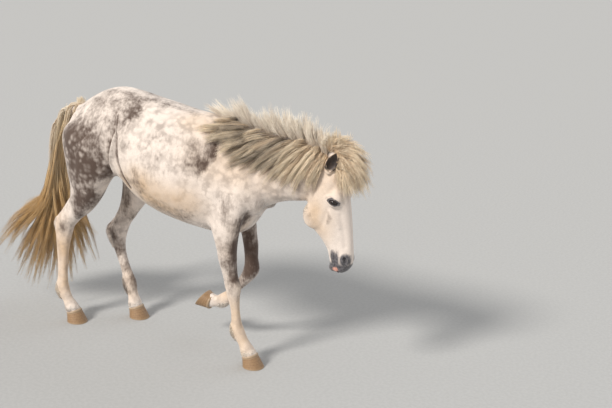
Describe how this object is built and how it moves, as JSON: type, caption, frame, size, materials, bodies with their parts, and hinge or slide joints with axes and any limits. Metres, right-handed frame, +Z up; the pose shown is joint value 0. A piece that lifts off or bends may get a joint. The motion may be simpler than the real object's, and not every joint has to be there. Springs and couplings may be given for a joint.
{
  "type": "horse model",
  "caption": "Life-size still model of a small sturdy grey horse walking slowly with its head low, one forefoot lifted, with a full mane, forelock and windblown tail.",
  "frame": {"origin": "on the floor, under the middle of the whole model's bounding box", "axes": "+X the way the horse faces and walks, +Y to its left, +Z up"},
  "size_m": [2.3474, 0.5464, 1.3878],
  "materials": {
    "coat": "short flat hair, dapple grey",
    "head_coat": "short flat hair, near white, dark muzzle skin",
    "mane_hair": "long coarse hair, cream with grey roots",
    "tail_hair": "long coarse hair, cream to tan",
    "hoof_horn": "amber brown horn",
    "eye": "wet dark eye"
  },
  "bodies": {
    "root": {"head": "head_coat", "neck": "mane_hair", "torso": "coat", "tail": "tail_hair", "ear_right": "coat", "ear_left": "coat", "eye_right": "eye", "eye_left": "eye", "fore_right_forearm": "coat", "fore_right_cannon": "coat", "fore_right_hoof": "hoof_horn", "fore_left_forearm": "coat", "fore_left_cannon": "coat", "fore_left_hoof": "hoof_horn", "hind_right_gaskin": "coat", "hind_right_cannon": "coat", "hind_right_hoof": "hoof_horn", "hind_left_gaskin": "coat", "hind_left_cannon": "coat", "hind_left_hoof": "hoof_horn"}
  },
  "joints": []
}
